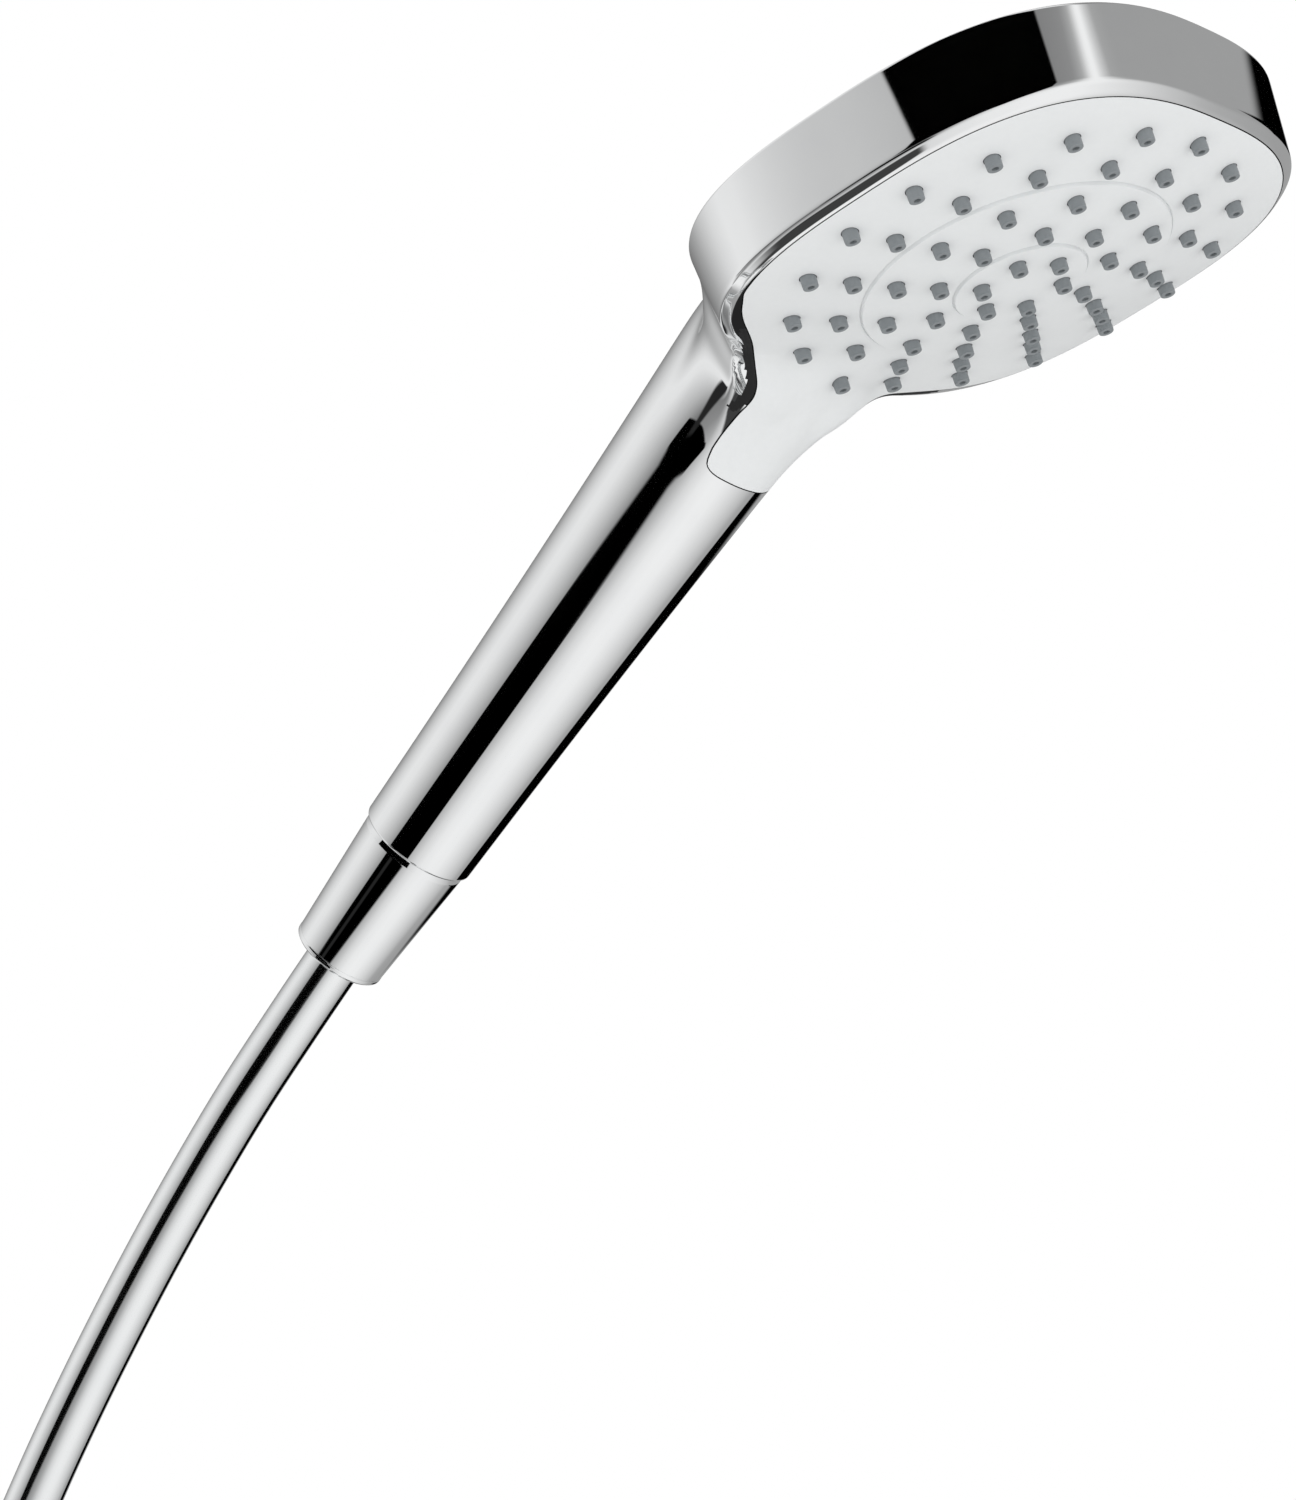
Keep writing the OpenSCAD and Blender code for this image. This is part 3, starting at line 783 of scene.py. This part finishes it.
def silicone():
    # moulded liquid silicone: a dull dark grey that gathers soft highlights at its rims
    return surface("Silicone_moulded", ("#7B8083", "#868B8E"), (0.42, 0.55), 0.0, 0.8, (0.3, 0.008))


def hose_skin():
    # clear PVC over a wound silver foil: a mirror a little softer than chrome
    return surface("PVC_over_foil_extruded", ("#EDEFF0", "#F4F5F5"), (0.06, 0.085), 1.0, 14.0)


def pom(name, first, second):
    # injection-moulded acetal: a waxy, slightly translucent engineering plastic
    return surface(name, (first, second), (0.30, 0.40), 0.0, 1.5, (0.25, 0.005))


def rubber():
    # compression-moulded NBR: deep black, with a matt grain from the mould
    return surface("NBR_moulded", ("#141414", "#1E1E1D"), (0.55, 0.72), 0.0, 0.6, (0.2, 0.01))


def steel():
    # drawn stainless steel: a grey metal with fine lines along the draw
    return surface("Stainless_steel_drawn", ("#B9BABB", "#C9CACB"), (0.22, 0.34), 1.0, 0.5, (0.12, 0.003),
        (1, 1, 0.1))


def brass():
    # turned brass: a warm yellow metal with fine tool rings across its axis
    return surface("Brass_turned", ("#C9A55A", "#D8B66C"), (0.20, 0.32), 1.0, 0.6, (0.15, 0.004), (0.1, 0.1, 1))


def mesh_steel():
    # woven stainless wire cloth: a dull grey metal broken up by its tiny holes
    return surface("Stainless_wire_woven", ("#5E5F60", "#B4B5B6"), (0.35, 0.55), 1.0, 0.25, (0.25, 0.05))


# Scale of a wave texture whose threads are 0.8 mm apart
THREAD_SCALE = 1 / (0.8 * MM) / 6.2832


def fabric():
    """Woven hook-and-loop strap: black polyamide whose warp and weft show as a fine matt check."""
    name = "Polyamide_strap_woven"
    material = surface(name, ("#151617", "#232426"), (0.75, 0.92), 0.0, 0.5)
    tree = material.node_tree
    place = add(tree, "ShaderNodeTexCoord").outputs["Object"]
    threads = [add(tree, "ShaderNodeTexWave", {"bands_direction": way},
        {"Vector": place, "Scale": THREAD_SCALE, "Distortion": 0.4}).outputs[1] for way in "XY"]
    height = combine(tree, "MULTIPLY", *threads)
    bump = add(tree, "ShaderNodeBump", None, {"Strength": 1.0, "Distance": 0.12 * MM, "Height": height})
    shader = tree.nodes["Principled BSDF"]
    tree.links.new(bump.outputs[0], shader.inputs["Normal"])
    shader.inputs["Sheen Weight"].default_value = 0.3
    return material


def paint_shade_inside(ob):
    """The inner side and the free edges of a shell are painted black, as painted shade in the gap of the seam."""
    # painted shade: matt black, so that the seam reads as one dark line; the band at the neck takes it as a
    # painted dark reflection
    ob.data.materials.append(surface("Black_painted_shade_and_reflection", ("#0C0C0D", "#151516"), (0.6, 0.75), 0.0, 1.0))
    skin = sum(p.use_smooth for p in ob.data.polygons) // 2
    for face in ob.data.polygons:
        face.material_index = int(face.index >= skin)


def dress(ob, material):
    """Gives a piece one material and, for a new piece, the record's slot for it."""
    if len(ob.material_slots):
        for held in ob.material_slots:
            held.material = material
    else:
        ob.data.materials.append(material)


def dress_cad_pieces(settings):
    """Materials for the CAD's own pieces, which keep their shape."""
    grey = pom("Acetal_grey_moulded", "#8C8F91", "#989B9D")
    white = pom("Acetal_white_moulded", "#E4E3DE", "#EDECE8")
    green = pom("Acetal_green_moulded", "#3F9A68", "#4BA876")
    orange = pom("Acetal_orange_moulded", "#D9752A", "#E48738")
    finishes = {
        grey: ("jet_plate", "chamber_cover"),
        white: ("water_tube", "valve_body", "swivel_ring"),
        green: ("flow_limiter",),
        orange: ("valve_poppet",),
        rubber(): ("chamber_seal", "tube_seals", "nipple_seal", "valve_seal", "poppet_seal", "limiter_ring",
            "filter_washer", "tap_washer"),
        steel(): ("chamber_screws", "valve_spring"),
        mesh_steel(): ("filter_mesh",),
        brass(): ("inlet_nipple", "hose_nipple", "tap_nipple"),
        chrome(settings): ("crimp_sleeve", "tap_sleeve", "tap_nut"),
        fabric(): ("hose_tie",),
    }
    for material, names in finishes.items():
        for name in names:
            dress(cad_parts[name], material)


# ---------------------------------------------------------------- stage

SHOT_FROM = (-0.729102, -0.645469, -0.059985)
SHOT_AXES = ((0.613142, -0.786979, 0.068716), (-0.119000, -0.006019, 0.992876),
    (-0.780958, -0.616951, -0.097341))
LENS = 110.338
FLOOR_Z = -292.5
FLOOR_R = 900.0


def direction(around, up):
    """A direction by its turn from -X towards -Y and its height over the horizon, in degrees."""
    a, e = math.radians(around), math.radians(up)
    return Vector((-math.cos(a) * math.cos(e), -math.sin(a) * math.cos(e), math.sin(e)))


def dot(tree, a, b):
    return add(tree, "ShaderNodeVectorMath", {"operation": "DOT_PRODUCT"}, {0: a, 1: b}).outputs["Value"]


def card(tree, way, corners, soft):
    """How far a direction is inside a studio card, 0 to 1. The corners are (around, up), in order."""
    dirs = [direction(*c) for c in corners]
    middle = sum(dirs, Vector()) / len(dirs)
    inside_all = None
    for a, b in zip(dirs, dirs[1:] + dirs[:1]):
        normal = a.cross(b).normalized()
        if normal.dot(middle) < 0:
            normal.negate()
        side = dot(tree, way, normal)
        edge = add(tree, "ShaderNodeMapRange", {"interpolation_type": "SMOOTHSTEP"},
            {"Value": side, "From Min": -soft / 2, "From Max": soft / 2}).outputs[0]
        inside_all = edge if inside_all is None else combine(tree, "MULTIPLY", inside_all, edge)
    return inside_all


# Dark flags round the object: (corners as (around, up) in degrees, softness, brightness)
FLAGS = (
    (((-18, 14), (-18, -6), (4, -21), (44, -27), (50, 0), (57, 44), (20, 62), (-18, 45)), 0.03, 0.0),
    (((-18, -13), (-4, -20.3), (2, -25.5), (13.8, -39.8), (10.5, -46), (-12, -34), (-24, -18)), 0.02, 0.0),
    (((162, 28), (162, 5), (185, 10), (208, 17), (185, 25)), 0.03, 0.0),
    (((209, 2), (211, -4), (179, -32), (175, -24)), 0.02, 0.0),
    (((-90, -58), (-20, -61), (14, -58.5), (26, -62), (0, -72), (-85, -76)), 0.05, 0.05),
    (((-72, -28), (-45, -28), (-12, -24), (-8, -31), (-45, -38), (-72, -38)), 0.05, 0.02),
    (((204, -28), (226, -28), (234, -50), (236, -66), (200, -66)), 0.08, 0.02),
)
# Brightness of the white sheet wrapped about the handle, by the turn about its axis, in degrees
SHEET = ((-180, 0.12), (-147, 0.40), (-134, 0.54), (-115, 0.74), (-99, 0.86), (-85, 0.84), (-73, 0.74),
    (-62, 0.62), (-52, 0.50), (-42, 0.35), (-34, 0.22), (-14, 0.28), (0, 0.42), (9, 0.58), (18, 0.74), (32, 0.89),
    (47, 0.94), (62, 0.92), (75, 0.83), (90, 0.70), (106, 0.54), (116, 0.40), (130, 0.36), (180, 0.36))
SKY = 1.2


def set_world(settings):
    """Plain white round the object for the camera; for mirrors, a white sheet with black flags."""
    world = bpy.data.worlds.new("Studio")
    bpy.context.scene.world = world
    world.use_nodes = True
    tree = world.node_tree
    tree.nodes.clear()
    way = add(tree, "ShaderNodeTexCoord").outputs["Generated"]
    axis = Vector(turn_to_row([0, 0, 1])[0])
    near = Vector(SHOT_AXES[2])
    near = (near - near.dot(axis) * axis).normalized()
    across = axis.cross(near)
    turn = combine(tree, "ARCTAN2", dot(tree, way, across), dot(tree, way, near))
    share = add(tree, "ShaderNodeMapRange", None,
        {"Value": turn, "From Min": -math.pi, "From Max": math.pi}).outputs[0]
    sheet = add(tree, "ShaderNodeValToRGB", None, {0: share})
    stops = sheet.color_ramp.elements
    while len(stops) < len(SHEET):
        stops.new(0.5)
    for stop, (at, bright) in zip(stops, SHEET):
        stop.position = (at + 180) / 360
        stop.color = (bright, bright, bright, 1.0)
    level = sheet.outputs[0]
    for corners, soft, bright in FLAGS:
        flag = card(tree, way, corners, soft)
        level = add(tree, "ShaderNodeMix", {"data_type": "FLOAT"}, {0: flag, 2: level, 3: bright}).outputs[0]
    path = add(tree, "ShaderNodeLightPath")
    mirrored = path.outputs["Is Glossy Ray"]
    level = add(tree, "ShaderNodeMix", {"data_type": "FLOAT"}, {0: mirrored, 2: SKY, 3: level}).outputs[0]
    level = combine(tree, "MULTIPLY", level, settings.light)
    level = add(tree, "ShaderNodeMix", {"data_type": "FLOAT"},
        {0: path.outputs["Is Camera Ray"], 2: level, 3: 1.0}).outputs[0]
    background = add(tree, "ShaderNodeBackground", None, {"Color": level, "Strength": 1.0})
    add(tree, "ShaderNodeOutputWorld", None, {"Surface": background.outputs[0]})


def set_stage(settings):
    """The camera, the studio round the object and the floor under it."""
    scene = bpy.context.scene
    scene.view_settings.view_transform = "Standard"
    lens = bpy.data.cameras.new("Camera")
    lens.lens = LENS
    lens.sensor_width = 36.0
    lens.dof.use_dof = False
    camera = bpy.data.objects.new("Camera", lens)
    turn = Matrix(SHOT_AXES).transposed().to_4x4()
    camera.matrix_world = Matrix.Translation(SHOT_FROM) @ turn
    scene.collection.objects.link(camera)
    scene.camera = camera
    set_world(settings)
    phi = np.linspace(0, 2 * math.pi, 96, endpoint=False)
    mesh = bpy.data.meshes.new("Floor")
    edge = [(FLOOR_R * MM * math.cos(a), FLOOR_R * MM * math.sin(a), FLOOR_Z * MM) for a in phi]
    mesh.from_pydata(edge, [], [range(len(edge))])
    floor = bpy.data.objects.new("Floor", mesh)
    scene.collection.objects.link(floor)
    # matt paper sweep: a plain pale ground that takes soft shadows
    dress(floor, surface("Paper_matt", ("#E9E9E8", "#EDEDEC"), (0.85, 0.95), 0.0, 60.0))
    floor.visible_glossy = False


# ---------------------------------------------------------------- add-on

class ShowerSettings(bpy.types.PropertyGroup):
    seam: bpy.props.FloatProperty(name="Seam", description="Gap round the spray face, in millimetres",
        default=0.24, min=0.1, max=0.3, unit="NONE")
    polish: bpy.props.FloatProperty(name="Polish", description="Lowest roughness of the chrome",
        default=0.02, min=0.0, max=0.2, unit="NONE")
    light: bpy.props.FloatProperty(name="Light", description="Brightness of the studio round the object",
        default=1.0, min=0.1, max=4.0, unit="NONE")


class SHOWER_OT_stage(bpy.types.Operator):
    """Sets the camera, the studio light and the floor"""
    bl_idname = "shower.stage"
    bl_label = "Stage"

    def execute(self, context):
        set_stage(context.scene.shower)
        return {"FINISHED"}


class SHOWER_OT_hose(bpy.types.Operator):
    """Lays the hose from the cone nut to the tap end"""
    bl_idname = "shower.hose"
    bl_label = "Hose"

    def execute(self, context):
        build_hose()
        return {"FINISHED"}


class SHOWER_OT_casing(bpy.types.Operator):
    """Builds the chromed casing of handle and head"""
    bl_idname = "shower.casing"
    bl_label = "Casing"

    def execute(self, context):
        build_casing(context.scene.shower)
        return {"FINISHED"}


class SHOWER_OT_face(bpy.types.Operator):
    """Builds the spray face with its tongue"""
    bl_idname = "shower.face"
    bl_label = "Spray face"

    def execute(self, context):
        build_face(context.scene.shower)
        return {"FINISHED"}


class SHOWER_OT_nozzles(bpy.types.Operator):
    """Builds the nozzles and their mat"""
    bl_idname = "shower.nozzles"
    bl_label = "Nozzles"

    def execute(self, context):
        build_nozzles()
        return {"FINISHED"}


class SHOWER_OT_nut(bpy.types.Operator):
    """Builds the cone nut"""
    bl_idname = "shower.nut"
    bl_label = "Cone nut"

    def execute(self, context):
        build_nut(context.scene.shower)
        return {"FINISHED"}


class SHOWER_OT_fittings(bpy.types.Operator):
    """Gives the inner pieces, the tap end and the tie their materials"""
    bl_idname = "shower.fittings"
    bl_label = "Fittings"

    def execute(self, context):
        dress_cad_pieces(context.scene.shower)
        return {"FINISHED"}


OPERATORS = (SHOWER_OT_stage, SHOWER_OT_hose, SHOWER_OT_casing, SHOWER_OT_face, SHOWER_OT_nozzles,
    SHOWER_OT_nut, SHOWER_OT_fittings)


class SHOWER_PT_panel(bpy.types.Panel):
    """Lists the builders of the hand shower"""
    bl_idname = "SHOWER_PT_panel"
    bl_label = "Hand shower"
    bl_space_type = "VIEW_3D"
    bl_region_type = "UI"
    bl_category = "Shower"

    def draw(self, context):
        settings = context.scene.shower
        for name in ("seam", "polish", "light"):
            self.layout.prop(settings, name)
        for operator in OPERATORS:
            self.layout.operator(operator.bl_idname)


CLASSES = (ShowerSettings,) + OPERATORS + (SHOWER_PT_panel,)


def register():
    for cls in CLASSES:
        bpy.utils.register_class(cls)
    bpy.types.Scene.shower = bpy.props.PointerProperty(type=ShowerSettings)


def unregister():
    del bpy.types.Scene.shower
    for cls in reversed(CLASSES):
        bpy.utils.unregister_class(cls)


def main():
    register()
    bpy.ops.shower.stage()
    bpy.ops.shower.hose()
    bpy.ops.shower.casing()
    bpy.ops.shower.face()
    bpy.ops.shower.nozzles()
    bpy.ops.shower.nut()
    bpy.ops.shower.fittings()
    bpy.context.view_layer.update()


if __name__ == "__main__":
    main()
